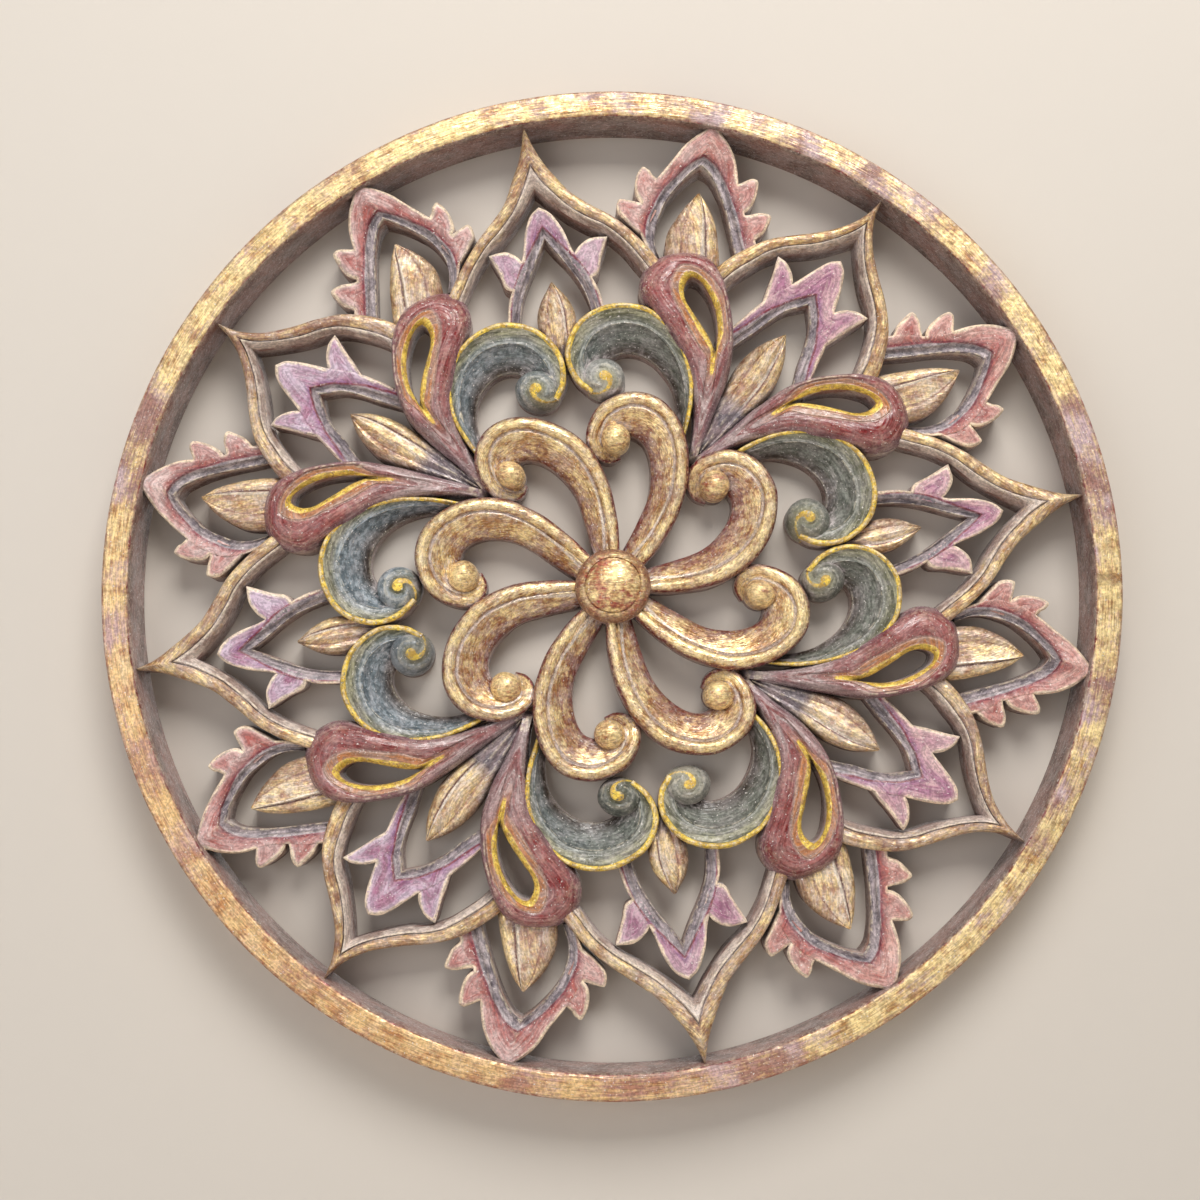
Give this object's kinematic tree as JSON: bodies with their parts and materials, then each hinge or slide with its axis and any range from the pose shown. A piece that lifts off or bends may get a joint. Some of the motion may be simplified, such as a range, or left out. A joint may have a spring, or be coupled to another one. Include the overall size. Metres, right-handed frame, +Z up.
{
  "type": "carved wall panel",
  "caption": "Round pierced wall panel carved in relief and painted: a plain ring round a rosette of scrolls, drops, pointed arches and lobed leaves, flat at the back to hang on a wall.",
  "frame": {"origin": "centre of the ring on the flat back, where the panel lies against the wall", "axes": "+Z up as hung, +X to the right seen from the front, the carved front faces -Y and +Y goes into the wall"},
  "size_m": [0.3999, 0.025, 0.3972],
  "materials": {
    "painted_wood": "antique gold and coloured paint over carved wood, satin"
  },
  "bodies": {
    "root": {"carved_panel": "painted_wood"}
  },
  "joints": []
}
